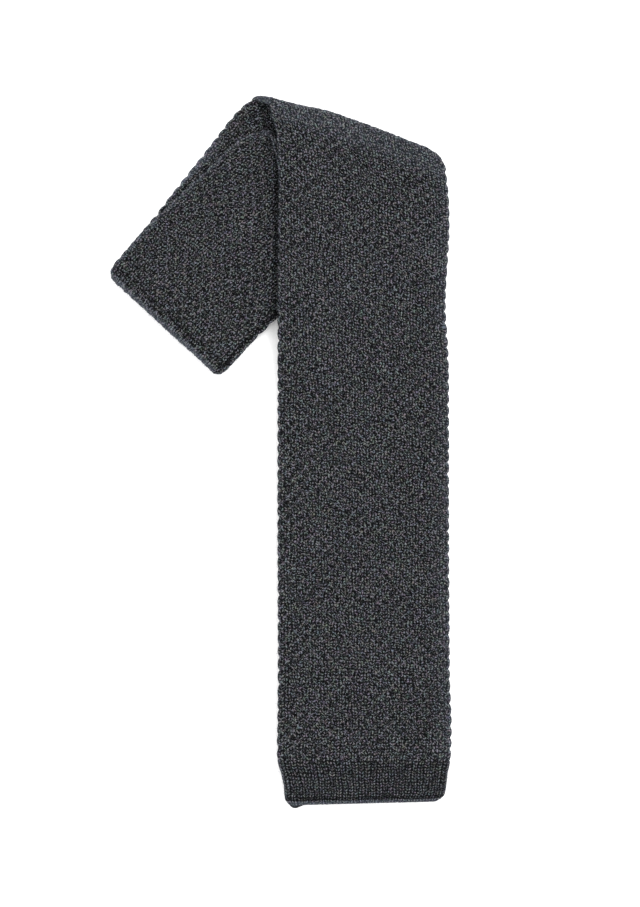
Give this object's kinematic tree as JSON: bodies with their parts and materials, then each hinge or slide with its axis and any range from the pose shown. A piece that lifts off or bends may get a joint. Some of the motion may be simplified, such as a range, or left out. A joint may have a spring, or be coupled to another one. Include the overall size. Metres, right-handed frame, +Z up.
{
  "type": "knit tie",
  "caption": "Flat knitted wool tie, doubled over and folded: front blade on top, tail laid out to the left, plain knit hems.",
  "frame": {"origin": "on the surface that the tie lies on, under the middle of its bounding box", "axes": "+Y up the front blade from its hem to the fold, +X to the blade's right seen from above, +Z up from the surface"},
  "size_m": [0.1206, 0.25, 0.01],
  "materials": {
    "moss_knit": "charcoal heather wool, moss stitch, matt with a faint halo of fibres",
    "plain_knit": "the same yarn in plain stocking stitch, a shade darker"
  },
  "bodies": {
    "root": {"knit_tube": "moss_knit", "front_hem": "plain_knit", "rear_hem": "plain_knit"}
  },
  "joints": []
}
